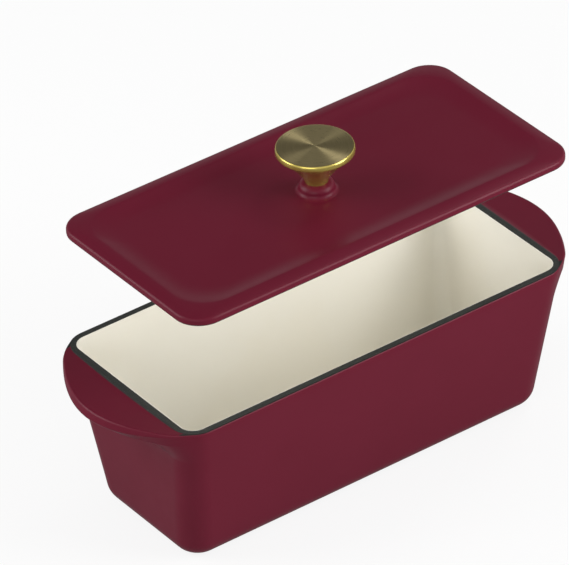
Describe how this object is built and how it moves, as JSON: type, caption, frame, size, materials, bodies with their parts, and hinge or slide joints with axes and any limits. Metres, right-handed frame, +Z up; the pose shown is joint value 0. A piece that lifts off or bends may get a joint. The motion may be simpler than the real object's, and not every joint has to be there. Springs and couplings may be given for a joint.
{
  "type": "cast iron roasting dish",
  "caption": "Rectangular enamelled cast iron roasting dish with solid end lugs, and its flat lid with a turned knob, shown lifted above the open dish.",
  "frame": {"origin": "centre of the foot, on the surface that the dish stands on", "axes": "+X along the length of the dish, from lug to lug; +Y across it; +Z up, out of the opening"},
  "size_m": [0.3502, 0.1452, 0.2247],
  "materials": {
    "dish_enamel": "satin wine-red enamel outside, gloss cream enamel inside, matt black rim",
    "lid_enamel": "satin wine-red enamel on top, gloss cream enamel below",
    "knob_metal": "turned, with a circularly brushed top and a smooth flare",
    "fixing_steel": "plain bright steel"
  },
  "bodies": {
    "root": {"dish": "dish_enamel", "lid": "lid_enamel", "knob": "knob_metal", "knob_screw": "fixing_steel", "screw_washer": "fixing_steel"}
  },
  "joints": []
}
